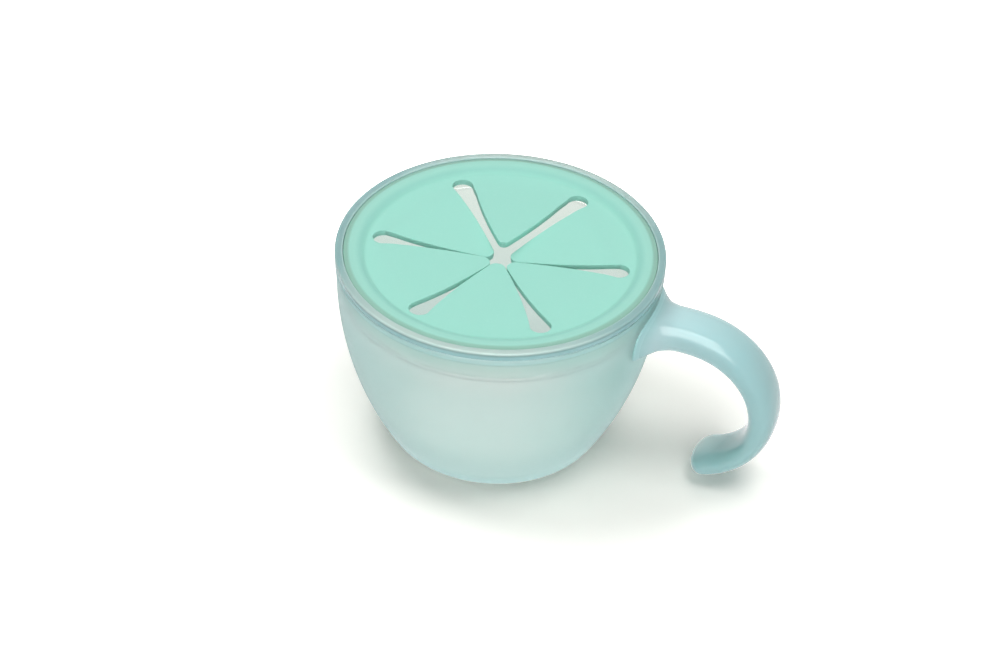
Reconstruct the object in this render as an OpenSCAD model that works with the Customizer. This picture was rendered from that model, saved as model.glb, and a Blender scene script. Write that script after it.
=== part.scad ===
// Toddler snack container: a bowl with an open hook handle, and a lid ring
// that holds a soft disc cut into six flaps. The base stands on z = 0, the
// bowl's axis is Z and the handle points along +X. Millimetres.

/* [Bowl] */
// Height of the bowl at its rim
bowl_h = 64.4; // [50:0.1:90]
// Radius of the wall where it stands upright, under the rim
bowl_r = 49.5; // [42:0.1:70]
// Height of the upright part of the wall
upright_h = 4.4; // [2:0.1:12]
// How far the wall curves in between the rim and the base
wall_draw = 17.4; // [10:0.1:22]
// Radius of the round corner between wall and base
base_corner_r = 7; // [3:0.5:12]
// Thickness of the wall
bowl_wall_t = 2; // [1.6:0.1:3]
// Thickness of the floor
floor_t = 2.2; // [1.4:0.1:4]
// Radius of the round corner inside, between wall and floor
inner_corner_r = 6; // [2:0.5:10]
// How far the mouth that takes the lid is cut into the wall
mouth_step = 0.5; // [0.2:0.1:0.9]
// Depth of the mouth that takes the lid
mouth_depth = 9.4; // [9:0.1:14]
// How far the rim's lip stands out of the wall
lip_out = 0.4; // [0.2:0.05:0.8]
// Height of the rim's lip
lip_h = 1.8; // [1.2:0.1:3]
// Rounding of the lip's upper edge
lip_round_r = 0.5; // [0.1:0.05:0.6]

/* [Handle] */
// Depth of the handle's centre line below the rim, where it leaves the wall
handle_drop = 13; // [11:0.1:20]
// Angle by which the handle rises where it leaves the wall
handle_rise = 14.7; // [5:0.1:20]
// Radius of the first stretch of the handle's curve
curve_1_r = 34.5; // [28:0.5:45]
// Angle that the first stretch turns
curve_1_turn = 27.4; // [15:0.1:32]
// Angle that the second stretch turns
curve_2_turn = 76.8; // [60:0.1:85]
// Radius of the last stretch of the handle's curve
curve_3_r = 21.5; // [15:0.1:24]
// Angle that the last stretch turns
curve_3_turn = 88.9; // [50:0.1:95]
// Height of the handle's tip above the table
tip_gap = 2.9; // [0.5:0.1:10]
// Thickness of the handle near its root
root_t = 12; // [8:0.1:14]
// Thickness of the handle halfway along
middle_t = 9.4; // [7:0.1:12]
// Thickness of the handle at its tip
tip_t = 5.6; // [4:0.1:9]
// Width of the handle near its root
root_w = 14.6; // [10:0.1:18]
// Width of the handle at its tip
tip_w = 18; // [10:0.1:22]
// Length over which the tip rounds off
tip_round = 5.2; // [3:0.1:7]
// Extra width on each side where the handle spreads into the wall
root_flare_w = 3.8; // [0:0.1:5]
// Extra thickness above where the handle spreads into the wall
root_flare_up = 1.5; // [0:0.1:2.5]
// Thickness lost below where the handle spreads into the wall
root_undercut = 1.4; // [0:0.1:2]
// Length over which the root spreads
root_flare_len = 8; // [6:0.5:12]
// How much squarer the section becomes where it spreads
root_squareness = 1.6; // [0:0.1:2.5]

/* [Lid ring] */
// How far the lid ring stands out over the rim's lip
lid_overhang = 0.1; // [0:0.05:0.6]
// Height of the ring above the bowl's rim
lid_ring_h = 2.6; // [2.2:0.1:4]
// Rounding of the ring's upper outer edge
lid_round_r = 0.9; // [0.3:0.1:1.5]
// Width of the ring's top, round the soft disc
ring_w = 2.45; // [1.9:0.05:4]
// Length of the skirt that goes into the bowl's mouth
skirt_len = 8; // [6:0.1:8.6]
// Thickness of the skirt
skirt_t = 1.3; // [1:0.1:2]
// Width of the ledge that carries the soft disc
ledge_w = 4.4; // [3:0.1:6]
// Thickness of the ledge
ledge_t = 1.3; // [1:0.1:2.5]
// Gap all round between the skirt and the mouth
skirt_gap = 0.3; // [0.2:0.05:0.6]

/* [Soft disc] */
// Thickness of the soft disc
disc_t = 1.9; // [1.2:0.1:3]
// Depth of the flat disc below the top of the lid
disc_drop = 1.6; // [0.8:0.1:2.4]
// Width of the slope between the flat disc and the raised edge
slope_w = 4.6; // [3:0.1:7]
// How much the slope bulges, where 1 is straight
slope_bulge = 2.5; // [1:0.1:4]
// Width of the raised edge, from its crest to the ring
edge_w = 1.85; // [1:0.05:3]
// How far the raised edge falls from its crest to the ring
edge_fall = 0.5; // [0.1:0.05:1]
// Thickness of the raised edge over the ledge, at its crest
edge_t = 2.1; // [1.6:0.1:2.4]
// Gap between the edge of the soft disc and the ring around it
edge_gap = 0.1; // [0.05:0.05:0.3]
// Gap between the soft disc's step and the ledge around it
step_gap = 0.15; // [0.05:0.05:0.4]

/* [Flaps] */
// Angle of the first slot from the handle
slot_turn = 7.3; // [0:0.1:59]
// How far each slot ends inside the edge of the flat disc
slot_margin = 1.6; // [0.8:0.1:6]
// Width of a slot at its round outer end
slot_end_w = 6.4; // [4:0.1:8]
// Width of a slot where it reaches the centre
slot_tip_w = 0.6; // [0.4:0.1:1.2]
// How late a slot opens out towards its end
slot_taper = 2.6; // [1:0.1:4]
// Diameter of the hole where the slots meet
centre_hole_d = 7; // [5:0.1:12]
// Rounding of each flap's point
flap_point_r = 1; // [0.4:0.1:1.6]
// Gap between a flap's round hinge edge and the rim of the disc
hinge_gap = 0.3; // [0.2:0.05:0.6]
// Angle by which flap 1 hangs down, where less than 0 points up
flap_1_droop = 5.3; // [-5:0.1:15]
// Angle by which flap 2 hangs down
flap_2_droop = -3.3; // [-5:0.1:15]
// Angle by which flap 3 hangs down
flap_3_droop = 4.9; // [-5:0.1:15]
// Angle by which flap 4 hangs down
flap_4_droop = 3.7; // [-5:0.1:15]
// Angle by which flap 5 hangs down
flap_5_droop = 2.3; // [-5:0.1:15]
// Angle by which flap 6 hangs down
flap_6_droop = 4.3; // [-5:0.1:15]

/* [Hidden] */
$fn = 96;

flap_count = 6;         // one between each two slots
blue_plastic = [0.68, 0.84, 0.85];
clear_plastic = [0.78, 0.88, 0.87];
mint_rubber = [0.64, 0.89, 0.83];

curve_step = 4;         // degrees per step on a corner's round
edge_step = 15;         // degrees per step on an edge's small round
side_step = 1.5;        // degrees per step on the wall's long curve
bend_step = 4;          // degrees per step along the handle
section_sides = 28;     // sides of the handle's section
section_power = 2.4;    // 2 is an ellipse, more is squarer
root_inset = 8;         // how far the handle's sweep starts inside the wall
slope_steps = 8;        // steps along the soft disc's slope

// Side view of the bowl
side_cz = bowl_h - upright_h;
side_curve_r = (pow(wall_draw, 2) + pow(side_cz, 2)) / (2 * wall_draw);
side_cx = bowl_r - side_curve_r;
mouth_r = bowl_r - bowl_wall_t + mouth_step;
lip_r = bowl_r + lip_out;

// Lid ring, from the bowl's rim up and down
lid_r = lip_r + lid_overhang;
lid_top_z = bowl_h + lid_ring_h;
skirt_r = mouth_r - skirt_gap;
skirt_bottom_z = bowl_h - skirt_len;
pocket_r = lid_r - ring_w;
ledge_r = pocket_r - ledge_w;
ledge_top_z = lid_top_z - edge_t;
ledge_bottom_z = ledge_top_z - ledge_t;

// Soft disc, inward from the ring around it
edge_r = pocket_r - edge_gap;
crest_r = edge_r - edge_w;
flat_r = crest_r - slope_w;
step_r = ledge_r - step_gap;
disc_top_z = lid_top_z - disc_drop;
disc_bottom_z = disc_top_z - disc_t;

// Flaps, each hinged on the line between two slot ends
flap_angle = 360 / flap_count;
slot_end_r = slot_end_w / 2;
slot_tip_r = slot_tip_w / 2;
slot_reach = flat_r - slot_margin - slot_end_r;
hinge_x = slot_reach * cos(flap_angle / 2);
hinge_z = disc_top_z - disc_t / 2;
hinge_round_r = disc_t / 2;
cut_x = hinge_x + hinge_round_r + hinge_gap;

function arc(cx, cz, r, from, to, step) =
    let (n = max(2, ceil(abs(to - from) / step)))
    [for (i = [0:n]) let (a = from + (to - from) * i / n) [cx + r * cos(a), cz + r * sin(a)]];

// Centre of a corner round that touches a floor and the wall's long curve
function corner_x(wall_r, r, floor_z) =
    side_cx + sqrt(pow(wall_r - r, 2) - pow(side_cz - floor_z - r, 2));
function corner_end(wall_r, r, floor_z) =
    -asin((side_cz - floor_z - r) / (wall_r - r));

// One side of the bowl's wall from the axis up, at a thickness inside the outer face
function wall_line(inset, r, floor_z, top_angle) =
    let (wall_r = side_curve_r - inset)
    let (cx = corner_x(wall_r, r, floor_z))
    let (touch = corner_end(wall_r, r, floor_z))
    concat([[0, floor_z]],
           arc(cx, floor_z + r, r, -90, touch, curve_step),
           arc(side_cx, side_cz, wall_r, touch + side_step / 2, top_angle, side_step));

function reversed(list) = [for (i = [len(list) - 1:-1:0]) list[i]];

module bowl_outside() {
    rotate_extrude()
        polygon(concat(
            wall_line(0, base_corner_r, 0, 0),
            [[bowl_r, bowl_h - lip_h - lip_out], [lip_r, bowl_h - lip_h]],
            arc(lip_r - lip_round_r, bowl_h - lip_round_r, lip_round_r, 0, 90, edge_step),
            [[0, bowl_h]]));
}

module bowl_inside() {
    socket_z = bowl_h - mouth_depth;
    inner_top = asin((socket_z - side_cz) / (side_curve_r - bowl_wall_t));
    inner_r = side_cx + (side_curve_r - bowl_wall_t) * cos(inner_top);
    rotate_extrude()
        polygon(concat(
            wall_line(bowl_wall_t, inner_corner_r, floor_t, inner_top),
            [[mouth_r, socket_z + (mouth_r - inner_r)], [mouth_r, bowl_h + 1], [0, bowl_h + 1]]));
}

module cup_bowl() {
    color(blue_plastic)
        difference() {
            bowl_outside();
            bowl_inside();
        }
}

// The handle's centre line: three arcs that run on from one another. The radius
// of the middle one brings the tip to its height above the table.
function drop_of(r, from, to) = r * (cos(from) - cos(to));
function arc_end(p, heading, r, turn) =
    [p.x + r * (sin(heading) - sin(heading - turn)), p.y - drop_of(r, heading, heading - turn)];
heading_1 = handle_rise - curve_1_turn;
heading_2 = heading_1 - curve_2_turn;
heading_3 = heading_2 - curve_3_turn;
root_p = [bowl_r, bowl_h - handle_drop];
whole_drop = root_p.y - tip_gap - tip_t / 2;
curve_2_r = (whole_drop - drop_of(curve_1_r, handle_rise, heading_1)
             - drop_of(curve_3_r, heading_2, heading_3)) / (cos(heading_1) - cos(heading_2));
p_1 = arc_end(root_p, handle_rise, curve_1_r, curve_1_turn);
p_2 = arc_end(p_1, heading_1, curve_2_r, curve_2_turn);
len_1 = curve_1_r * curve_1_turn * PI / 180;
len_2 = curve_2_r * curve_2_turn * PI / 180;
len_3 = curve_3_r * curve_3_turn * PI / 180;
handle_len = len_1 + len_2 + len_3;

// Heading and place at a length s from the wall, where a negative s lies inside it
function heading(s) =
    s < 0 ? handle_rise :
    s < len_1 ? handle_rise - s / curve_1_r * 180 / PI :
    s < len_1 + len_2 ? heading_1 - (s - len_1) / curve_2_r * 180 / PI :
    heading_2 - (s - len_1 - len_2) / curve_3_r * 180 / PI;
function place(s) =
    s < 0 ? root_p + s * [cos(handle_rise), sin(handle_rise)] :
    s < len_1 ? arc_end(root_p, handle_rise, curve_1_r, handle_rise - heading(s)) :
    s < len_1 + len_2 ? arc_end(p_1, heading_1, curve_2_r, heading_1 - heading(s)) :
    arc_end(p_2, heading_2, curve_3_r, heading_2 - heading(s));

// Half sizes of the section, with the spread at the root and the round at the tip
function spread(s) = pow(max(0, 1 - s / root_flare_len), 2);
function fade(s) = s < handle_len - tip_round ? 1 :
    sqrt(max(0, 1 - pow((s - handle_len + tip_round) / tip_round, 2)));
function half_t(s, up) =
    let (u = s / handle_len)
    let (flare = up ? root_flare_up * spread(s) : -min(root_undercut * spread(s), root_t / 3))
    fade(s) * (flare +
               (u < 0.5 ? root_t + (middle_t - root_t) * max(0, 2 * u)
                        : middle_t + (tip_t - middle_t) * (2 * u - 1)) / 2);
function half_w(s) =
    fade(s) * (root_flare_w * spread(s) + (root_w + (tip_w - root_w) * max(0, s / handle_len)) / 2);

function power_of(v, power) = sign(v) * pow(abs(v), 2 / power);
function ring(s) =
    let (p = place(s), h = heading(s), b = half_w(s))
    let (power = section_power + root_squareness * spread(s))
    [for (i = [0:section_sides - 1])
        let (v = 360 * i / section_sides)
        let (a = half_t(s, cos(v) > 0))
        let (t = a * power_of(cos(v), power), w = b * power_of(sin(v), power))
        [p.x - sin(h) * t, w, p.y + cos(h) * t]];

stations = concat(
    [for (i = [0:5]) -root_inset + i * root_inset / 6],
    let (n = ceil((curve_1_turn + curve_2_turn + curve_3_turn) / bend_step))
    [for (i = [0:n - 1]) i * (handle_len - tip_round) / n],
    [for (v = [0:12:84]) handle_len - tip_round + tip_round * sin(v)]);

module handle_sweep() {
    rings = len(stations);
    points = concat([for (s = stations) each ring(s)],
                    [[place(handle_len).x, 0, place(handle_len).y]]);
    tip = len(points) - 1;
    n = section_sides;
    sides = [for (k = [0:rings - 2], i = [0:n - 1])
        let (j = (i + 1) % n)
        each [[k * n + i, k * n + j, (k + 1) * n + i],
              [k * n + j, (k + 1) * n + j, (k + 1) * n + i]]];
    cap = [for (i = [0:n - 1]) [(rings - 1) * n + i, (rings - 1) * n + (i + 1) % n, tip]];
    polyhedron(points, concat(sides, cap, [reversed([for (i = [0:n - 1]) i])]), convexity = 6);
}

module hook_handle() {
    color(blue_plastic)
        difference() {
            handle_sweep();
            bowl_outside();
        }
}

module lid_ring() {
    color(clear_plastic)
        rotate_extrude()
            polygon(concat(
                [[skirt_r, bowl_h], [lid_r, bowl_h]],
                arc(lid_r - lid_round_r, lid_top_z - lid_round_r, lid_round_r, 0, 90, edge_step),
                [[pocket_r, lid_top_z], [pocket_r, ledge_top_z],
                 [ledge_r, ledge_top_z], [ledge_r, ledge_bottom_z],
                 [skirt_r - skirt_t, ledge_bottom_z], [skirt_r - skirt_t, skirt_bottom_z],
                 [skirt_r, skirt_bottom_z]]));
}

function slot_half_w(r) =
    slot_tip_r + (slot_end_r - slot_tip_r) * pow(r / slot_reach, slot_taper);

module slot_plan() {
    steps = [for (i = [0:12]) slot_reach * i / 12];
    polygon(concat([for (r = steps) [r, -slot_half_w(r)]],
                   [for (r = reversed(steps)) [r, slot_half_w(r)]]));
    translate([slot_reach, 0])
        circle(r = slot_end_r);
}

module all_slots() {
    for (i = [0:flap_count - 1])
        rotate(slot_turn + i * flap_angle)
            slot_plan();
}

// Height of the bulging slope, from the flat disc's edge out to the crest
function slope_z(u) = disc_top_z + (lid_top_z - disc_top_z) * (1 - pow(1 - u, slope_bulge));

module insert_rim() {
    color(mint_rubber)
        difference() {
            rotate_extrude()
                polygon(concat(
                    [[0, disc_bottom_z], [step_r, disc_bottom_z], [step_r, ledge_top_z],
                     [edge_r, ledge_top_z], [edge_r, lid_top_z - edge_fall], [crest_r, lid_top_z]],
                    [for (i = [slope_steps - 1:-1:0])
                        let (u = i / slope_steps)
                        [flat_r + slope_w * u, slope_z(u)]],
                    [[0, disc_top_z]]));
            translate([0, 0, disc_bottom_z - 1])
                linear_extrude(disc_t + 2)
                    union() {
                        all_slots();
                        rotate(slot_turn)
                            circle(r = cut_x / cos(flap_angle / 2), $fn = flap_count);
                    }
        }
}

// One flap seen from above, pointing from its hinge at the origin towards the centre
module flap_plan() {
    reach = hinge_x + 3 * flap_point_r;
    intersection() {
        translate([-hinge_x, 0])
            offset(r = flap_point_r)
                offset(r = -flap_point_r)
                    difference() {
                        polygon([[0, 0],
                                 [reach, -reach * tan(flap_angle / 2)],
                                 [reach, reach * tan(flap_angle / 2)]]);
                        for (side = [-1, 1])
                            rotate(side * flap_angle / 2)
                                slot_plan();
                        circle(d = centre_hole_d);
                    }
        translate([-hinge_x, -hinge_x])
            square([hinge_x + hinge_round_r, 2 * hinge_x]);
    }
}

// A flap seen from its side: flat, with a round edge along the hinge
module flap_side() {
    polygon(concat([[-hinge_x, -hinge_round_r]],
                   arc(0, 0, hinge_round_r, -90, 90, edge_step),
                   [[-hinge_x, hinge_round_r]]));
}

// A flap in place, hanging down by its own droop
module flap(index, droop) {
    color(mint_rubber)
        rotate(slot_turn + (index - 0.5) * flap_angle)
            translate([hinge_x, 0, hinge_z])
                rotate([0, -droop, 0])
                    intersection() {
                        translate([0, 0, -disc_t])
                            linear_extrude(2 * disc_t)
                                flap_plan();
                        translate([0, hinge_x, 0])
                            rotate([90, 0, 0])
                                linear_extrude(2 * hinge_x)
                                    flap_side();
                    }
}

module flap_1() { flap(1, flap_1_droop); }
module flap_2() { flap(2, flap_2_droop); }
module flap_3() { flap(3, flap_3_droop); }
module flap_4() { flap(4, flap_4_droop); }
module flap_5() { flap(5, flap_5_droop); }
module flap_6() { flap(6, flap_6_droop); }

cup_bowl();
hook_handle();
lid_ring();
insert_rim();
flap_1();
flap_2();
flap_3();
flap_4();
flap_5();
flap_6();
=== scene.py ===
"""Toddler snack container: a frosted bowl with a hook handle, and a lid ring with a soft slit disc."""

import math

import bmesh
import bpy
import numpy as np
from mathutils import Matrix, Vector

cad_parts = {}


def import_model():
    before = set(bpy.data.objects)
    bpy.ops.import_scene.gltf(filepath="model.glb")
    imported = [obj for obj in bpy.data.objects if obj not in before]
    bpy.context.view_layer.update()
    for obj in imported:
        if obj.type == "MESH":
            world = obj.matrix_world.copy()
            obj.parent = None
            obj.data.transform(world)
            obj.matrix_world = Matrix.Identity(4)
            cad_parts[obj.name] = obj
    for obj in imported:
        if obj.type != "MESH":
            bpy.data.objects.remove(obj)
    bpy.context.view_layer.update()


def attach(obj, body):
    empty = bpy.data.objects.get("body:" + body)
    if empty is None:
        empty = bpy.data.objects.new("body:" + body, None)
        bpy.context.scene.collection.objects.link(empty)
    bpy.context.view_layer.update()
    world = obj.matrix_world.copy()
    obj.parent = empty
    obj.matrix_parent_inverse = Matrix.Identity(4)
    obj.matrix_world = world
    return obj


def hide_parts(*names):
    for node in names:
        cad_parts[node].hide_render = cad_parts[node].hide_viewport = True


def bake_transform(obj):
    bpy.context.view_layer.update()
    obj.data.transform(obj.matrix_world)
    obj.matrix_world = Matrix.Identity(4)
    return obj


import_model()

MM = 0.001

# Sizes in millimetres and degrees, as in the part's source.

# Bowl: a side of one long arc with a short upright part over it, and a lip at the rim
BOWL_H, BOWL_R, UPRIGHT_H, WALL_DRAW = 64.4, 49.5, 4.4, 17.4
BASE_CORNER_R, WALL_T, FLOOR_T, INNER_CORNER_R = 7.0, 2.0, 2.2, 6.0
MOUTH_STEP, MOUTH_DEPTH, LIP_OUT, LIP_H = 0.5, 9.4, 0.4, 1.8
SIDE_CZ = BOWL_H - UPRIGHT_H
SIDE_R = (WALL_DRAW ** 2 + SIDE_CZ ** 2) / (2 * WALL_DRAW)
SIDE_CX = BOWL_R - SIDE_R
MOUTH_R = BOWL_R - WALL_T + MOUTH_STEP
LIP_R = BOWL_R + LIP_OUT

# Lid ring: a band on the rim, a skirt in the mouth and a ledge under the disc
LID_R, LID_TOP, SKIRT_LEN, SKIRT_T = LIP_R + 0.1, BOWL_H + 2.6, 8.0, 1.3
RING_W, LEDGE_W, LEDGE_T, SKIRT_R = 2.45, 4.4, 1.3, MOUTH_R - 0.3
POCKET_R = LID_R - RING_W
LEDGE_R = POCKET_R - LEDGE_W
RING_EDGE_ROUND = 0.5  # less than in the source, so that the edge's bright line falls as in the photo

# Soft disc: a raised edge, a slope, a flat middle, and a step inside the ledge
DISC_T, DISC_DROP, SLOPE_W, EDGE_W, EDGE_FALL, EDGE_T = 1.9, 1.6, 4.6, 1.85, 0.5, 2.1
EDGE_R = POCKET_R - 0.1
CREST_R = EDGE_R - EDGE_W
FLAT_R = CREST_R - SLOPE_W
STEP_R = LEDGE_R - 0.15
LEDGE_TOP = LID_TOP - EDGE_T
DISC_TOP = LID_TOP - DISC_DROP
DISC_LOW = DISC_TOP - DISC_T

# Slots and flaps
FLAPS = 6
PITCH = 360 / FLAPS
SLOT_TURN, SLOT_END_R, SLOT_TIP_R, SLOT_TAPER = 7.3, 3.2, 0.3, 2.6
SLOT_REACH = FLAT_R - 1.6 - SLOT_END_R
HOLE_R = 3.5
COS30, SIN30 = math.cos(math.radians(30)), 0.5
HINGE_X = SLOT_REACH * COS30
HINGE_Z = DISC_TOP - DISC_T / 2
SEAM_X, FREE_X = 33.0, 26.5  # a flap bends from its seam with the rim to here, and is stiff beyond
DROOPS = [5.3, -3.3, 4.9, 3.7, 2.3, 4.3]
SOFT_EDGE = 0.22  # the round on the disc's cut edges
NARROW_FLAP, NARROWER = 2, 0.55  # in the photo the slots beside this flap are a little wider

# Handle: three arcs from the wall to the tip, and a section that spreads at the wall
HANDLE_DROP, HANDLE_RISE, TIP_GAP = 13.0, 14.7, 2.9
CURVE_1, CURVE_2_TURN, CURVE_3 = (34.5, 27.4), 76.8, (21.5, 88.9)
ROOT_T, MIDDLE_T, TIP_T, ROOT_W, TIP_W, TIP_ROUND = 12.0, 9.4, 5.6, 14.6, 18.0, 5.2
FLARE_W, FLARE_UP, UNDERCUT, FLARE_LEN, SECTION_POWER = 3.8, 1.5, 1.4, 8.0, 2.4
SQUARENESS = 0.5  # less than in the source, so that the section is rounder at the wall
# The hollow round at the wall: its radius, and how much larger it is at the sides and underneath
HOLLOW_R, HOLLOW_SIDE, HOLLOW_UNDER = 1.0, 4.8, 0.6
SUNK = 0.35  # how far the handle's end lies inside the wall's face

LATHE_SIDES, HANDLE_SIDES = 224, 72


# Shapes

def make(name, points, faces, sharp=38):
    """An object from points in millimetres, smooth but for edges sharper than this many degrees."""
    mesh = bpy.data.meshes.new(name)
    mesh.from_pydata([tuple(c * MM for c in p) for p in points], [], [tuple(f) for f in faces])
    mesh.validate()
    obj = bpy.data.objects.new(name, mesh)
    bpy.context.scene.collection.objects.link(obj)
    bm = bmesh.new()
    bm.from_mesh(mesh)
    bmesh.ops.recalc_face_normals(bm, faces=bm.faces)
    bm.to_mesh(mesh)
    bm.free()
    mesh.shade_smooth()
    mesh.set_sharp_from_angle(angle=math.radians(sharp))
    return obj


def arc(cx, cz, r, start, end, step=3.0):
    n = max(2, math.ceil(abs(end - start) / step))
    return [(cx + r * math.cos(math.radians(start + (end - start) * i / n)),
             cz + r * math.sin(math.radians(start + (end - start) * i / n))) for i in range(n + 1)]


def rounded(corners, step=15.0):
    """A path through (x, z, radius) corners, each rounded by its radius."""
    out = []
    n = len(corners)
    for i, (x, z, r) in enumerate(corners):
        if r <= 0 or i in (0, n - 1):
            out.append((x, z))
            continue
        p, a, b = np.array([x, z]), np.array(corners[i - 1][:2]), np.array(corners[i + 1][:2])
        u, v = (a - p) / np.linalg.norm(a - p), (b - p) / np.linalg.norm(b - p)
        half = math.acos(max(-1.0, min(1.0, float(u @ v)))) / 2
        d = r / math.tan(half)
        c = p + (u + v) / np.linalg.norm(u + v) * (r / math.sin(half))
        s, e = p + u * d - c, p + v * d - c
        a0, a1 = math.atan2(s[1], s[0]), math.atan2(e[1], e[0])
        turn = (a1 - a0 + math.pi) % (2 * math.pi) - math.pi
        k = max(3, math.ceil(abs(math.degrees(turn)) / step))
        out += [tuple(c + r * np.array([math.cos(a0 + turn * j / k), math.sin(a0 + turn * j / k)]))
                for j in range(k + 1)]
    return out


def lathe(name, profile, closed=True):
    """Turns a side view about the Z axis: closed, or open from one point on the axis to another."""
    n = LATHE_SIDES
    points, rows = [], []
    for x, z in profile:
        if abs(x) < 1e-6:
            rows.append([len(points)] * n)
            points.append((0, 0, z))
        else:
            rows.append(list(range(len(points), len(points) + n)))
            points += [(x * math.cos(2 * math.pi * j / n), x * math.sin(2 * math.pi * j / n), z)
                       for j in range(n)]
    faces = []
    for a, b in list(zip(rows, rows[1:])) + ([(rows[-1], rows[0])] if closed else []):
        if a[0] == a[1] and b[0] == b[1]:
            continue
        for j in range(n):
            k = (j + 1) % n
            quad = [a[j], a[k], b[k], b[j]]
            face = [v for i, v in enumerate(quad) if v != quad[i - 1]]
            if len(face) > 2:
                faces.append(face)
    return make(name, points, faces)


def band(a, b):
    """Quads between two closed rows of point numbers."""
    n = len(a)
    return [[a[j], a[(j + 1) % n], b[(j + 1) % n], b[j]] for j in range(n)]


def smooth(t):
    """0 to 1 with a soft start and end."""
    t = min(1.0, max(0.0, t))
    return t * t * (3 - 2 * t)


def wall_corner(wall_r, r, floor_z):
    """Where the round between a floor and the side's arc has its centre, and where it ends."""
    cx = SIDE_CX + math.sqrt((wall_r - r) ** 2 - (SIDE_CZ - floor_z - r) ** 2)
    return cx, -math.degrees(math.asin((SIDE_CZ - floor_z - r) / (wall_r - r)))


def outer_r(z):
    """The wall's outer radius at a height, without the lip."""
    if z >= SIDE_CZ:
        return BOWL_R
    return SIDE_CX + math.sqrt(SIDE_R ** 2 - (SIDE_CZ - z) ** 2)


def build_bowl():
    cx, touch = wall_corner(SIDE_R, BASE_CORNER_R, 0)
    outside = arc(cx, BASE_CORNER_R, BASE_CORNER_R, -90, touch, 4)
    outside += arc(SIDE_CX, SIDE_CZ, SIDE_R, touch, 0, 1)[1:]
    socket_z = BOWL_H - MOUTH_DEPTH
    in_r = SIDE_R - WALL_T
    top = -math.degrees(math.asin((SIDE_CZ - socket_z) / in_r))
    in_cx, in_touch = wall_corner(in_r, INNER_CORNER_R, FLOOR_T)
    inner = arc(SIDE_CX, SIDE_CZ, in_r, top, in_touch, 1)
    in_x, in_z = inner[0]
    rim = rounded([(BOWL_R, SIDE_CZ, 0), (BOWL_R, BOWL_H - LIP_H - LIP_OUT, 0.3),
                   (LIP_R, BOWL_H - LIP_H, 0.25), (LIP_R, BOWL_H, 0.5), (MOUTH_R, BOWL_H, 0.3),
                   (MOUTH_R, socket_z + MOUTH_R - in_x, 0.3), (in_x, in_z, 0)])
    floor = arc(in_cx, FLOOR_T + INNER_CORNER_R, INNER_CORNER_R, in_touch, -90, 5)
    profile = [(x, 0) for x in (0, 8, 16, 22)]
    profile += outside + rim[1:] + inner[1:] + floor[1:]
    profile += [(x, FLOOR_T) for x in (16, 8, 0)]
    return lathe("bowl_shell", profile, closed=False)


def build_ring():
    inner = SKIRT_R - SKIRT_T
    low = BOWL_H - SKIRT_LEN
    ledge_low = LEDGE_TOP - LEDGE_T
    return lathe("lid_band", rounded([
        (SKIRT_R, BOWL_H - 2, 0), (SKIRT_R, BOWL_H, 0.2), (LID_R - 0.06, BOWL_H, 0.4),
        (LID_R, LID_TOP, RING_EDGE_ROUND), (POCKET_R, LID_TOP, 0.3), (POCKET_R, LEDGE_TOP, 0),
        (LEDGE_R, LEDGE_TOP, 0.2), (LEDGE_R, ledge_low, 0.2), (inner, ledge_low, 0.4),
        (inner, low, 0.4), (SKIRT_R, low, 0.5), (SKIRT_R, BOWL_H - 4, 0)], 12))


# The handle's line. H1 to H3 are its headings where the three arcs end.

def drop_of(r, a, b):
    return r * (math.cos(math.radians(a)) - math.cos(math.radians(b)))


def arc_end(p, a, r, turn):
    """Where an arc from point p with heading a ends, after this turn downwards."""
    s = math.sin(math.radians(a)) - math.sin(math.radians(a - turn))
    return (p[0] + r * s, p[1] - drop_of(r, a, a - turn))


H1 = HANDLE_RISE - CURVE_1[1]
H2 = H1 - CURVE_2_TURN
H3 = H2 - CURVE_3[1]
ROOT = (BOWL_R, BOWL_H - HANDLE_DROP)
R2 = (ROOT[1] - TIP_GAP - TIP_T / 2 - drop_of(CURVE_1[0], HANDLE_RISE, H1)
      - drop_of(CURVE_3[0], H2, H3)) / (math.cos(math.radians(H1)) - math.cos(math.radians(H2)))
P1 = arc_end(ROOT, HANDLE_RISE, *CURVE_1)
P2 = arc_end(P1, H1, R2, CURVE_2_TURN)
L1 = math.radians(CURVE_1[1]) * CURVE_1[0]
L2 = math.radians(CURVE_2_TURN) * R2
LEN = L1 + L2 + math.radians(CURVE_3[1]) * CURVE_3[0]


def handle_at(s):
    """The (x, z) point at length s of the handle's line, and its heading there."""
    if s < 0:
        h = math.radians(HANDLE_RISE)
        return (ROOT[0] + s * math.cos(h), ROOT[1] + s * math.sin(h)), HANDLE_RISE
    if s < L1:
        turn = math.degrees(s / CURVE_1[0])
        return arc_end(ROOT, HANDLE_RISE, CURVE_1[0], turn), HANDLE_RISE - turn
    if s < L1 + L2:
        turn = math.degrees((s - L1) / R2)
        return arc_end(P1, H1, R2, turn), H1 - turn
    turn = math.degrees((s - L1 - L2) / CURVE_3[0])
    return arc_end(P2, H2, CURVE_3[0], turn), H2 - turn


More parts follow.
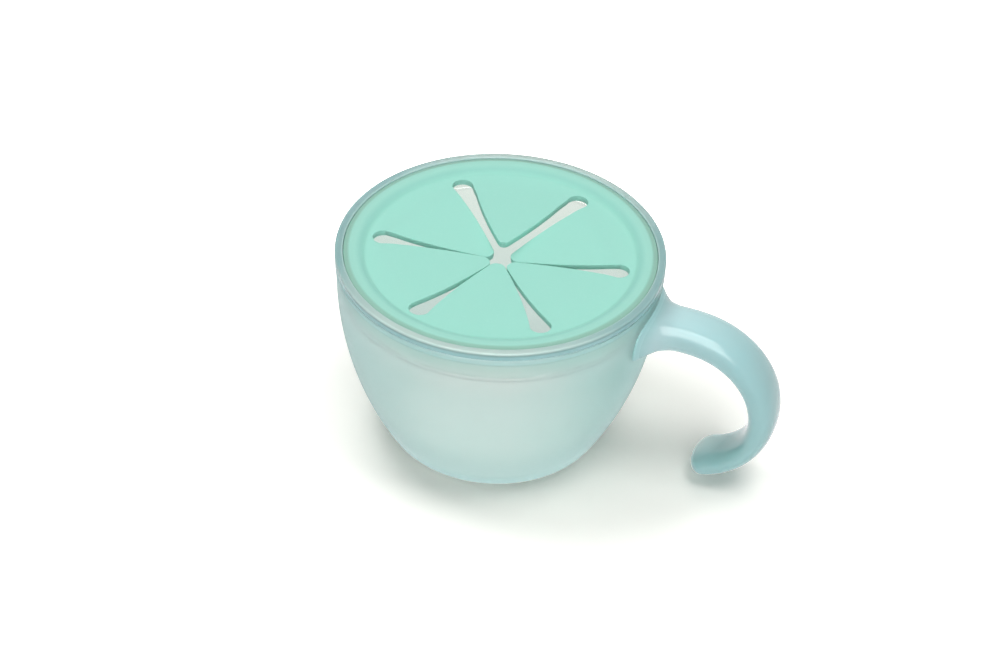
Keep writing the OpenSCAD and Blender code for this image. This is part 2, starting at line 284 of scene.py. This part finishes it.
def handle_point(s, v):
    """A point of the handle's skin at length s and angle v round the section, and its way out."""
    p, h = handle_at(s)
    h = math.radians(h)
    spread = min(1.0, max(0.0, 1 - s / FLARE_LEN)) ** 2
    fade = 1.0
    if s > LEN - TIP_ROUND:
        fade = math.sqrt(max(0.0, 1 - ((s - LEN + TIP_ROUND) / TIP_ROUND) ** 2))
    u = s / LEN
    if u < 0.5:
        thick = ROOT_T + (MIDDLE_T - ROOT_T) * max(0, 2 * u)
    else:
        thick = MIDDLE_T + (TIP_T - MIDDLE_T) * (2 * u - 1)
    c, d = math.cos(v), math.sin(v)
    flare = FLARE_UP * spread if c > 0 else -min(UNDERCUT * spread, ROOT_T / 3)
    a = fade * (thick / 2 + flare)
    b = fade * (FLARE_W * spread + (ROOT_W + (TIP_W - ROOT_W) * max(0, u)) / 2)
    e = 2 / (SECTION_POWER + SQUARENESS * spread)
    t, w = a * math.copysign(abs(c) ** e, c), b * math.copysign(abs(d) ** e, d)
    out = np.array([-math.sin(h) * t, w, math.cos(h) * t])
    return np.array([p[0], 0, p[1]]) + out, out


def wall_gap(p):
    return math.hypot(p[0], p[1]) - outer_r(p[2])


def handle_skin(s, v):
    """The same point, with a hollow round added where the skin nears the wall."""
    p, out = handle_point(s, v)
    out = out / (np.linalg.norm(out) + 1e-9)
    r = HOLLOW_R + HOLLOW_SIDE * math.sin(v) ** 2 + HOLLOW_UNDER * max(0.0, -math.cos(v))
    q = p
    for _ in range(3):
        gap = max(0.0, wall_gap(q))
        grow = r - math.sqrt(max(0.0, r * r - (r - gap) ** 2)) if gap < r else 0.0
        q = p + out * min(grow, r * 0.6)
    return q


def handle_start(v):
    """The length at which the skin at angle v leaves the wall."""
    low, high = -8.0, 8.0
    for _ in range(40):
        middle = (low + high) / 2
        if wall_gap(handle_skin(middle, v)) < -SUNK:
            low = middle
        else:
            high = middle
    return high


def handle_rows():
    """Shares of the handle's length: close together near the wall and round the tip."""
    body = LEN - TIP_ROUND
    rows = [0.25 * (1.55 ** i - 1) / 0.55 for i in range(8)]
    while rows[-1] < body - 2:
        rows.append(rows[-1] + 1.5)
    rows = [r * body / rows[-1] for r in rows[:-1]]
    rows += [body + TIP_ROUND * math.sin(math.radians(a)) for a in range(0, 90, 6)]
    return [r / LEN for r in rows]


def build_handle():
    sides = HANDLE_SIDES
    angles = [2 * math.pi * j / sides for j in range(sides)]
    starts = [handle_start(v) for v in angles]
    points, loops = [], []
    for u in handle_rows():
        loops.append(list(range(len(points), len(points) + sides)))
        points += [tuple(handle_skin(s + (LEN - s) * u, v)) for s, v in zip(starts, angles)]
    end, _ = handle_at(LEN)
    points.append((end[0], 0, end[1]))
    faces = [face for a, b in zip(loops, loops[1:]) for face in band(a, b)]
    faces += [[loops[-1][j], loops[-1][(j + 1) % sides], len(points) - 1] for j in range(sides)]

    # The end face lies just inside the wall, ring by ring
    def sunk(q):
        r = (outer_r(q[2]) - SUNK) / math.hypot(q[0], q[1])
        return (q[0] * r, q[1] * r, q[2])

    edge = np.array(points[:sides])
    centre = edge.mean(0)
    before = loops[0]
    for share in (0.75, 0.5, 0.25):
        now = list(range(len(points), len(points) + sides))
        points += [sunk(centre + (p - centre) * share) for p in edge]
        faces += band(now, before)
        before = now
    points.append(sunk(centre))
    faces += [[before[(j + 1) % sides], before[j], len(points) - 1] for j in range(sides)]
    return make("handle_hook", points, faces, 50)


# The soft disc: a rim, and flaps that each bend at the line between two slot ends

def slot_half(r):
    return SLOT_TIP_R + (SLOT_END_R - SLOT_TIP_R) * (r / SLOT_REACH) ** SLOT_TAPER


def flap_edge():
    """x and half width of a flap, from the disc's middle to beyond its seam with the rim."""
    r = np.linspace(0, SLOT_REACH, 200)
    h = np.array([slot_half(v) for v in r])
    return r * COS30 + h * SIN30, r * SIN30 - h * COS30


def flap_rows():
    """Where a flap's cross sections lie: close together at its point and where it bends."""
    rows = [HOLE_R + d for d in (0.02, 0.1, 0.25, 0.5, 0.8, 1.2)]
    while rows[-1] < SEAM_X - 1.0:
        rows.append(rows[-1] + (1.0 if rows[-1] > 24 else 1.4))
    rows[-1] = SEAM_X
    return rows


def flap_section(y, columns):
    """A flap's cross section of half width y, with its cut edges rounded on top."""
    e = min(SOFT_EDGE, y * 0.4)
    side = e / COS30
    edge = [(y - side * (1 - math.sin(a)), -e * (1 - math.cos(a)))
            for a in (math.radians(30), math.radians(60))]
    edge += [(y, -e), (y, -DISC_T + e * 0.6), (y - side * 0.6, -DISC_T)]
    under = [(c * (y - side * 0.6), -DISC_T) for c in columns[::-1][1:-1]]
    return [(c * (y - side), 0.0) for c in columns] + edge + under + [(-w, z) for w, z in edge[::-1]]


def build_flap(index):
    xs, ys = flap_edge()
    narrow = index == NARROW_FLAP
    blunt = 0.9 if narrow else 1.1
    columns = np.sin(np.linspace(-0.5, 0.5, 17) * math.pi)
    droop = math.radians(DROOPS[index - 1])
    points, loops = [], []
    for x in flap_rows():
        y = float(np.interp(x, xs, ys))
        if narrow:
            y -= NARROWER * smooth((SEAM_X - x) / 5)
        d = x - HOLE_R
        if d < blunt:
            y = min(y, (0.35 + 0.65 * math.sqrt(max(0.0, 1 - (1 - d / blunt) ** 2))) * y)
        section = flap_section(max(y, 0.25), columns)
        loops.append(list(range(len(points), len(points) + len(section))))
        # How far this row has turned about the hinge
        turn = droop * smooth((SEAM_X - x) / (SEAM_X - FREE_X))
        c, s = math.cos(turn), math.sin(turn)
        for py, pz in section:
            dx, dz = x - HINGE_X, DISC_TOP + pz - HINGE_Z
            points.append((HINGE_X + dx * c - dz * s, py, HINGE_Z + dx * s + dz * c))
    faces = [face for a, b in zip(loops, loops[1:]) for face in band(a, b)]
    faces += [loops[0][::-1], loops[-1]]
    turn = math.radians(SLOT_TURN + (index - 0.5) * PITCH)
    c, s = math.cos(turn), math.sin(turn)
    points = [(x * c - y * s, x * s + y * c, z) for x, y, z in points]
    return make(f"soft_flap_{index}", points, faces, 50), (c, s)


def rim_sector(seam_y, chords, arcs):
    """The rim's inner edge for one flap: its seam, then the round end of the slot beside it.

    Each point is (x, y, dx, dy), where dx and dy are the soft edge's way back from the cut."""
    side = SOFT_EDGE / COS30
    sector = [(SEAM_X, -seam_y + 2 * seam_y * j / chords, 0.0, 0.0) for j in range(chords)]
    sector[0] = (SEAM_X, -seam_y, 0.0, side)
    sector.append((SEAM_X, seam_y, 0.0, -side))
    centre = np.array([SLOT_REACH * COS30, SLOT_REACH * SIN30])
    first = np.array([SEAM_X, seam_y]) - centre
    start, middle = math.atan2(first[1], first[0]), math.radians(30)
    for j in range(1, 2 * arcs):
        share = j / arcs
        a = start + (middle - start) * min(share, 2 - share)
        if share > 1:
            # The far half of the round end mirrors the near one about the slot
            a = 2 * middle - a
        n = np.array([math.cos(a), math.sin(a)])
        sector.append((*(centre + SLOT_END_R * n), *(n * SOFT_EDGE)))
    return sector


def build_rim():
    """The disc's rim: its inner edge runs along the flaps' seams and round the slots' ends."""
    chords, arcs = 16, 13
    seam_y = float(np.interp(SEAM_X, *flap_edge()))
    sector = rim_sector(seam_y, chords, arcs)
    half = math.degrees(math.atan2(seam_y, SEAM_X))
    inner, soft, angles = [], [], []
    for k in range(FLAPS):
        base = SLOT_TURN + (k + 0.5) * PITCH
        c, s = math.cos(math.radians(base)), math.sin(math.radians(base))
        inner += [(x * c - y * s, x * s + y * c) for x, y, _, _ in sector]
        soft += [(dx * c - dy * s, dx * s + dy * c) for _, _, dx, dy in sector]
        angles += [base - half + 2 * half * j / chords for j in range(chords)]
        angles += [base + half + (PITCH - 2 * half) * j / (2 * arcs) for j in range(2 * arcs)]

    def circle(r, z):
        return [(r * math.cos(math.radians(a)), r * math.sin(math.radians(a)), z) for a in angles]

    def cut_edge(z, share=0.0):
        return [(x + dx * share, y + dy * share, z) for (x, y), (dx, dy) in zip(inner, soft)]

    # Circles from just beyond the slots' ends, over the slope and the edge, to the underside
    slope = [(40.1, DISC_TOP), (FLAT_R - 0.5, DISC_TOP), (FLAT_R - 0.1, DISC_TOP + 0.05)]
    slope += [(FLAT_R + SLOPE_W * i / 16, DISC_TOP + (LID_TOP - DISC_TOP) * (1 - (1 - i / 16) ** 2.5))
              for i in range(1, 16)]
    edge = rounded([(*slope[-1], 0), (CREST_R, LID_TOP, 0.5),
                    (EDGE_R, LID_TOP - EDGE_FALL, 0.3), (EDGE_R, LEDGE_TOP, 0), (STEP_R, LEDGE_TOP, 0),
                    (STEP_R, DISC_LOW, 0.4), (SEAM_X + 7.5, DISC_LOW, 0)], 12)
    rows = [cut_edge(DISC_TOP, 1.0)]
    rows += [circle(r, z) for r, z in slope + edge[1:]]
    rows += [cut_edge(DISC_LOW), cut_edge(DISC_TOP - SOFT_EDGE),
             cut_edge(DISC_TOP - SOFT_EDGE * 0.3, 0.3)]
    n = len(inner)
    loops = [list(range(k * n, k * n + n)) for k in range(len(rows))]
    faces = [face for a, b in zip(loops, loops[1:] + loops[:1]) for face in band(a, b)]
    return make("soft_rim", [p for row in rows for p in row], faces, 40)


# Looks. Places in the materials are in metres, in the part's own frame.

def srgb(r, g, b):
    def lin(v):
        v /= 255
        return v / 12.92 if v <= 0.04045 else ((v + 0.055) / 1.055) ** 2.4
    return (lin(r), lin(g), lin(b), 1)


class Nodes:
    """Writes the nodes of a material or of the world."""

    def __init__(self, owner, output="ShaderNodeOutputMaterial"):
        owner.use_nodes = True
        self.tree = owner.node_tree
        self.tree.nodes.clear()
        self.surface = self.node(output).inputs["Surface"]

    def feed(self, socket, value):
        """Links a value from another node, or sets a plain one."""
        if isinstance(value, bpy.types.NodeSocket):
            self.tree.links.new(value, socket)
        else:
            socket.default_value = value

    def node(self, kind, sockets=None, **settings):
        node = self.tree.nodes.new(kind)
        for name, value in settings.items():
            setattr(node, name, value)
        for key, value in (sockets or {}).items():
            self.feed(node.inputs[key], value)
        return node

    def place(self):
        return self.node("ShaderNodeTexCoord").outputs["Object"]

    def math(self, operation, *values):
        return self.node("ShaderNodeMath", dict(enumerate(values)), operation=operation).outputs[0]

    def span(self, value, low, high, to_low=0.0, to_high=1.0, ease="LINEAR"):
        """A value's range, carried over to another range and held at its ends."""
        return self.node("ShaderNodeMapRange", {
            "Value": value, "From Min": low, "From Max": high, "To Min": to_low, "To Max": to_high},
            interpolation_type=ease).outputs[0]

    def mix(self, share, a, b):
        return self.node("ShaderNodeMix", {0: share, 6: a, 7: b}, data_type="RGBA").outputs[2]

    def seen_by(self, *rays):
        """1 for rays of these kinds that come from the camera by gloss or glass alone, otherwise 0."""
        path = self.node("ShaderNodeLightPath").outputs
        seen = path[rays[0]]
        for ray in rays[1:]:
            seen = self.math("MAXIMUM", seen, path[ray])
        return self.math("MULTIPLY", seen, self.math("LESS_THAN", path["Diffuse Depth"], 0.5))


class Plastic(Nodes):
    """A material of one principled shader."""

    def __init__(self, name):
        self.mat = bpy.data.materials.new(name)
        super().__init__(self.mat)
        self.shader = self.node("ShaderNodeBsdfPrincipled")
        self.feed(self.surface, self.shader.outputs[0])
        self.object = self.place()

    def set(self, **values):
        for name, value in values.items():
            self.feed(self.shader.inputs[name.replace("_", " ")], value)

    def axis(self, name):
        return self.node("ShaderNodeSeparateXYZ", {0: self.object}).outputs[name]

    def radius(self):
        x, y = self.axis("X"), self.axis("Y")
        squares = self.math("MULTIPLY", x, x), self.math("MULTIPLY", y, y)
        return self.math("SQRT", self.math("ADD", *squares))

    def distance(self, place):
        return self.node("ShaderNodeVectorMath", {0: self.object, 1: place},
                         operation="DISTANCE").outputs["Value"]

    def noise(self, scale, detail=2.0):
        return self.node("ShaderNodeTexNoise", {
            "Vector": self.object, "Scale": scale, "Detail": detail, "Roughness": 0.5}).outputs["Fac"]

    def mottle(self, scale, low, high, detail=2.0, thin=0.3, thick=0.7):
        """A value that wanders between low and high from place to place."""
        return self.span(self.noise(scale, detail), thin, thick, low, high)

    def ramp(self, share, stops, ease="LINEAR"):
        """Colours along a range, from (share, red, green, blue) stops."""
        node = self.node("ShaderNodeValToRGB", {0: share})
        node.color_ramp.interpolation = ease
        elements = node.color_ramp.elements
        while len(elements) < len(stops):
            elements.new(0.5)
        for element, (place, *colour) in zip(elements, stops):
            element.position = place
            element.color = srgb(*colour)
        return node.outputs[0]

    def clear(self, share):
        """Lets this share of light in, and all of it out again, as clouded plastic does."""
        back = self.node("ShaderNodeNewGeometry").outputs["Backfacing"]
        self.set(Transmission_Weight=self.span(back, 0.0, 1.0, share, 1.0))

    def grain(self, scale, strength):
        """A very fine roughness of the surface, 0.1 mm deep at full strength."""
        bump = self.node("ShaderNodeBump", {
            "Strength": strength, "Distance": 0.1 * MM, "Height": self.noise(scale)})
        self.set(Normal=bump.outputs[0])


def bowl_material():
    """Clouded plastic, lightest high on the wall and deeper teal near its foot, with painted light and
    shade at its foot, its lip, its sides and round the handle's root.
    """
    m = Plastic("frosted_bowl_plastic")
    # Colour by height: a painted highlight along the very foot, a deeper teal band just above it,
    # lighter up the wall, painted shade just under the lip and a painted light line on the lip.
    tint = m.ramp(m.span(m.axis("Z"), 0.0, BOWL_H * MM), [
        (0.0, 226, 248, 244), (0.02, 216, 244, 240), (0.05, 158, 211, 208), (0.15, 196, 237, 233),
        (0.45, 213, 249, 243), (0.72, 219, 252, 247), (0.88, 229, 255, 252), (0.955, 206, 243, 238),
        (0.97, 178, 224, 222), (0.98, 196, 244, 248), (1.0, 198, 244, 248)], "EASE")
    colour = m.mix(m.mottle(38, 0.0, 0.10), tint, srgb(204, 236, 233))
    # Lighter, tealer wall round the handle's root: painted light where the handle shades the wall, and
    # the root's own teal seen through it.
    root_showing_and_painted_light = m.span(m.distance((0.0495, 0.0, 0.050)), 0.006, 0.026, 0.6, 0.0)
    colour = m.mix(root_showing_and_painted_light, colour, srgb(200, 252, 248))
    # Painted shade: the wall is deeper teal on its two sides along X.
    side = m.span(m.math("ABSOLUTE", m.axis("X")), 0.018, 0.040, 0.0, 0.6)
    colour = m.mix(side, colour, m.mix(0.6, colour, srgb(178, 240, 236)))
    m.set(Base_Color=colour, Roughness=m.mottle(900, 0.34, 0.42), IOR=1.32,
          Specular_Tint=(0.5, 0.85, 0.85, 1),
          Subsurface_Weight=1.0, Subsurface_Radius=(0.9, 1.0, 1.0), Subsurface_Scale=0.003)
    m.clear(0.7)
    m.grain(2600, 0.06)
    return m.mat


def inside_material():
    """The bowl's smooth inside, with painted shade: darker towards the floor, and greyer on its far
    half than on its near half.
    """
    m = Plastic("smooth_bowl_inside")
    depth = m.span(m.axis("Z"), 0.0, 0.055)
    # Painted shade: darker towards the floor, and greyer on the far half, towards +Y.
    near = m.ramp(depth, [(0.0, 232, 228, 224), (0.35, 250, 246, 242), (1.0, 255, 253, 249)])
    far = m.ramp(depth, [(0.0, 196, 193, 186), (0.35, 212, 208, 201), (1.0, 243, 233, 222)], "EASE")
    tint = m.mix(m.span(m.axis("Y"), -0.012, 0.008), near, far)
    colour = m.mix(m.mottle(45, 0.0, 0.12), tint, srgb(236, 230, 222))
    m.set(Base_Color=colour, Roughness=m.mottle(700, 0.18, 0.24), IOR=1.32)
    m.clear(0.9)
    return m.mat


def skirt_material():
    """The part of the lid inside the bowl, which hardly shows through the wall."""
    m = Plastic("clear_lid_skirt")
    cloud = m.mix(m.mottle(45, 0.0, 0.15), srgb(255, 255, 253), srgb(246, 252, 250))
    m.set(Base_Color=cloud, Roughness=m.mottle(700, 0.12, 0.18), IOR=1.2)
    m.clear(0.97)
    return m.mat


def handle_material():
    """Solid glossy plastic, deeper in colour towards the bend, with painted shade low on the hook and
    painted light on the tip's end.
    """
    m = Plastic("glossy_handle_plastic")
    x, z = m.axis("X"), m.axis("Z")
    tint = m.ramp(m.span(x, 0.046, 0.091), [
        (0.0, 190, 222, 225), (0.30, 179, 215, 217), (0.7, 165, 209, 211), (1.0, 163, 205, 206)])
    # Painted shade: slightly darker and greener low on the hook, near the floor.
    low = m.math("MULTIPLY", m.span(z, 0.004, 0.030, 0.6, 0.0), m.span(x, 0.066, 0.078, 0.2, 1.0))
    tint = m.mix(low, tint, srgb(158, 201, 198))
    # Painted light: the tip's end is made pale.
    tip, _ = handle_at(LEN)
    face = m.span(m.distance((tip[0] * MM, 0.006, tip[1] * MM)), 0.004, 0.012, 1.0, 0.0)
    tint = m.mix(face, tint, srgb(224, 250, 247))
    colour = m.mix(m.mottle(60, 0.0, 0.12), tint, srgb(168, 212, 214))
    # Within 4 mm of the wall's long curve its foot is darker teal and duller
    down = m.math("MAXIMUM", m.math("SUBTRACT", SIDE_CZ * MM, z), 0.0)
    reach = m.math("SQRT", m.math("SUBTRACT", (SIDE_R * MM) ** 2, m.math("MULTIPLY", down, down)))
    wall = m.math("ADD", reach, SIDE_CX * MM)
    foot = m.span(m.math("SUBTRACT", m.radius(), wall), 0.0003, 0.0042, 1.0, 0.0, "SMOOTHSTEP")
    colour = m.mix(m.math("MULTIPLY", foot, 0.8), colour, srgb(162, 210, 210))
    dull = m.math("MULTIPLY", foot, 0.3)
    m.set(Base_Color=colour, Roughness=m.math("ADD", m.mottle(500, 0.012, 0.022), dull), IOR=1.5,
          Coat_Weight=m.math("SUBTRACT", 0.3, dull), Coat_Roughness=0.01, Coat_IOR=1.5,
          Subsurface_Weight=m.span(x, 0.050, 0.060, 0.0, 0.5),
          Subsurface_Radius=(1.0, 1.2, 1.25), Subsurface_Scale=0.003)
    m.grain(1500, 0.015)
    return m.mat


def ring_material():
    """Clear plastic over the bowl's rim, with painted shade and light on its top, a painted highlight
    on its outer edge and painted shade on its inner edge.
    """
    m = Plastic("clear_lid_plastic")
    y, z, r = m.axis("Y"), m.axis("Z"), m.radius()
    # Painted shade: darker teal towards the top, which stays at the left and right; at the front and
    # back the top is painted lighter and greyer.
    tint = m.ramp(m.span(z, BOWL_H * MM, 0.0662), [
        (0.0, 178, 228, 232), (0.7, 174, 219, 220), (1.0, 147, 184, 184)])
    ends = m.math("MULTIPLY", m.span(m.math("ABSOLUTE", y), 0.022, 0.046), m.span(z, 0.0660, 0.0668))
    tint = m.mix(ends, tint, srgb(188, 207, 201))
    # Painted highlight along the top's outer edge, strongest at the front.
    edge = m.math("MULTIPLY", m.span(r, 0.0493, 0.0497, 0.0, 0.7), m.span(z, 0.0662, 0.0666))
    edge = m.math("MULTIPLY", edge, m.span(y, -0.046, -0.024, 1.0, 0.1))
    tint = m.mix(edge, tint, srgb(200, 224, 219))
    # Painted shade on the inner edge of the top.
    tint = m.mix(m.span(r, 0.0477, 0.0482, 0.7, 0.0), tint, srgb(178, 210, 205))
    colour = m.mix(m.mottle(70, 0.0, 0.12), tint, srgb(186, 216, 212))
    m.set(Base_Color=colour, Roughness=m.mottle(700, 0.16, 0.22), IOR=1.46,
          Subsurface_Weight=1.0, Subsurface_Radius=(0.9, 1.0, 1.0), Subsurface_Scale=0.002)
    m.clear(0.2)
    m.grain(1800, 0.03)
    return m.mat


def rubber_material():
    """Matt rubber, with painted shade on its slope and on the outside of its raised edge, where it
    falls to the ring.
    """
    m = Plastic("mint_rubber")
    # Colour by radius: painted shade on the slope's steep part, and a darker band of painted shade
    # where the raised edge falls to the ring.
    tint = m.ramp(m.span(m.radius(), 0.040, 0.048), [
        (0.0, 154, 215, 200), (0.12, 152, 213, 198), (0.3, 146, 205, 192), (0.5, 155, 211, 197),
        (0.7, 154, 209, 195), (0.78, 141, 185, 170), (0.88, 139, 181, 165), (1.0, 148, 190, 177)])
    colour = m.mix(m.mottle(55, 0.0, 0.10, detail=3.0), tint, srgb(151, 209, 194))
    colour = m.mix(m.mottle(1400, 0.0, 0.10, thin=0.62, thick=0.75), colour, srgb(182, 234, 222))
    m.set(Base_Color=colour, Roughness=m.mottle(800, 0.52, 0.62), IOR=1.42,
          Subsurface_Weight=0.15, Subsurface_Radius=(0.6, 1.0, 0.9), Subsurface_Scale=0.0015)
    m.grain(3200, 0.10)
    return m.mat


def add_material(obj, material, where):
    """Gives a piece a further material, on the faces that where picks by their middle and normal."""
    obj.data.materials.append(material)
    for face in obj.data.polygons:
        if where(face.center, face.normal):
            face.material_index = len(obj.data.materials) - 1


def faces_inwards(middle, normal):
    """The bowl's inner wall, and the floor inside it."""
    outwards = normal.x * middle.x + normal.y * middle.y
    return outwards < -0.1 * middle.xy.length or (normal.z > 0.5 and middle.z < 0.01)


bowl = build_bowl()
bowl.data.materials.append(bowl_material())
add_material(bowl, inside_material(), faces_inwards)
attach(bowl, "bowl")
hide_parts("cup_bowl")

handle = build_handle()
handle.data.materials.append(handle_material())
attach(handle, "bowl")
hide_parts("hook_handle")

ring = build_ring()
ring.data.materials.append(ring_material())
add_material(ring, skirt_material(), lambda middle, normal: middle.z < (BOWL_H - 0.02) * MM)
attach(ring, "lid")
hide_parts("lid_ring")

rubber = rubber_material()
rim = build_rim()
rim.data.materials.append(rubber)
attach(rim, "lid")
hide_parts("insert_rim")

for number in range(1, FLAPS + 1):
    flap, (c, s) = build_flap(number)
    flap.data.materials.append(rubber)
    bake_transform(flap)
    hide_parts(f"flap_{number}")


# The floor and the world look white to the camera, in gloss and through plastic, and add no light

FLOOR_WHITE, THROUGH_WHITE = 0.92, 1.0
FLOOR_SEEN = (1.165 * 1.02, 1.165, 1.165 * 0.95, 1)  # brings the lit floor to white in the picture
GLOW_MIDDLE, GLOW_SQUASH, GLOW_FROM, GLOW_FULL = -0.018, 1.35, 0.055, 0.16  # clears faint far shadow
FLOOR_HALF = 4


def stage():
    h = FLOOR_HALF
    mesh = bpy.data.meshes.new("floor")
    mesh.from_pydata([(-h, -h, 0), (h, -h, 0), (h, h, 0), (-h, h, 0)], [], [(0, 1, 2, 3)])
    floor = bpy.data.objects.new("floor", mesh)
    bpy.context.scene.collection.objects.link(floor)
    mat = bpy.data.materials.new("pale_floor")
    mat.cycles.emission_sampling = "NONE"
    m = Nodes(mat)
    seen = m.seen_by("Is Camera Ray")
    shade = m.mix(seen, (FLOOR_WHITE, FLOOR_WHITE, FLOOR_WHITE, 1), FLOOR_SEEN)
    diffuse = m.node("ShaderNodeBsdfDiffuse", {"Color": shade})
    about = m.node("ShaderNodeMapping", {
        "Vector": m.place(), "Location": (GLOW_MIDDLE, 0, 0), "Scale": (1, GLOW_SQUASH, 1)})
    away = m.node("ShaderNodeVectorMath", {0: about.outputs["Vector"]}, operation="LENGTH")
    far = m.span(away.outputs["Value"], GLOW_FROM, GLOW_FULL)
    glow = m.node("ShaderNodeEmission", {"Strength": m.math("MULTIPLY", far, seen)})
    lit = m.node("ShaderNodeAddShader", {0: diffuse.outputs[0], 1: glow.outputs[0]})
    white = m.node("ShaderNodeEmission", {"Strength": THROUGH_WHITE})
    pick = m.node("ShaderNodeMixShader", {
        0: m.seen_by("Is Glossy Ray", "Is Transmission Ray"), 1: lit.outputs[0], 2: white.outputs[0]})
    m.feed(m.surface, pick.outputs[0])
    mesh.materials.append(mat)


def world():
    w = bpy.data.worlds.new("studio")
    bpy.context.scene.world = w
    w.cycles.sampling_method = "NONE"
    m = Nodes(w, "ShaderNodeOutputWorld")
    back = m.node("ShaderNodeBackground", {
        "Color": (1, 1, 1, 1),
        "Strength": m.seen_by("Is Camera Ray", "Is Glossy Ray", "Is Transmission Ray")})
    m.feed(m.surface, back.outputs[0])


def softbox(name, place, aim, size, power, diffuse):
    """A soft light that either lights surfaces or is only the shine on them."""
    light = bpy.data.lights.new(name, "AREA")
    light.shape = "RECTANGLE"
    light.size, light.size_y = size
    light.energy = power
    obj = bpy.data.objects.new(name, light)
    bpy.context.scene.collection.objects.link(obj)
    obj.visible_diffuse = diffuse
    obj.visible_glossy = not diffuse
    obj.location = Vector(place)
    obj.rotation_mode = "QUATERNION"
    obj.rotation_quaternion = (Vector(aim) - Vector(place)).to_track_quat("-Z", "Y")


# Each soft light: where it stands round the object and how high, in degrees, its width, and its
# share of the light that reaches the floor at the object. Their shares add up to a little over 1.
LIGHTS_AWAY, LIGHTS_AIM = 0.65, 0.03
STUDIO = ((-13, 65, 0.28, 0.315), (47, 65, 0.28, 0.09), (167, 65, 0.28, 0.325),
          (107, 42, 0.40, 0.105), (227, 42, 0.40, 0.125), (-64, 25, 0.40, 0.165))
SHINE_PLACE, SHINE_AIM = (0.12, -0.50, 0.52), (0.065, 0.0, 0.05)
SHINE_SIZE, SHINE_POWER = (0.62, 0.80), 5.0


def lights():
    for number, (azimuth, height, width, share) in enumerate(STUDIO, 1):
        turn, lift = math.radians(azimuth), math.radians(height)
        out = LIGHTS_AWAY * math.cos(lift)
        place = (out * math.cos(turn), out * math.sin(turn), LIGHTS_AIM + LIGHTS_AWAY * math.sin(lift))
        # The power at which a lamp so far away gives the floor this share
        power = share * math.pi ** 2 * LIGHTS_AWAY ** 2 / math.sin(lift)
        softbox(f"soft_light_{number}", place, (0.0, 0.0, LIGHTS_AIM), (width, width), power, True)
    softbox("shine", SHINE_PLACE, SHINE_AIM, SHINE_SIZE, SHINE_POWER, False)


stage()
world()
lights()

# The camera stands where the photograph was taken from, as fitted to it: degrees round, up and
# rolled, metres from the lid's middle, focal length and the middle's place in the photo's pixels
AZ, EL, ROLL, DIST, FOCAL = 17.0, 38.87, 2.31, 0.900, 2985.3
MIDDLE = Vector((0, 0, 0.0654))
AT_X, AT_Y = 0.59, -79.35
PHOTO_W, SENSOR_W = 1000, 36.0


def place_camera():
    a, e, r = math.radians(AZ), math.radians(EL), math.radians(ROLL)
    back = Vector((math.sin(a) * math.cos(e), -math.cos(a) * math.cos(e), math.sin(e)))
    level = Vector((math.cos(a), math.sin(a), 0))
    upright = back.cross(level)
    right = math.cos(r) * level + math.sin(r) * upright
    up = -math.sin(r) * level + math.cos(r) * upright
    data = bpy.data.cameras.new("camera")
    data.sensor_width = SENSOR_W
    data.lens = FOCAL * SENSOR_W / PHOTO_W
    data.clip_start, data.clip_end = 0.05, 20
    camera = bpy.data.objects.new("camera", data)
    bpy.context.scene.collection.objects.link(camera)
    camera.matrix_world = Matrix((
        (right.x, up.x, back.x, 0), (right.y, up.y, back.y, 0), (right.z, up.z, back.z, 0),
        (0, 0, 0, 1)))
    camera.location = MIDDLE + back * DIST - right * (AT_X * DIST / FOCAL) + up * (AT_Y * DIST / FOCAL)
    bpy.context.scene.camera = camera


place_camera()
bpy.context.scene.view_settings.view_transform = "Standard"

bpy.context.view_layer.update()
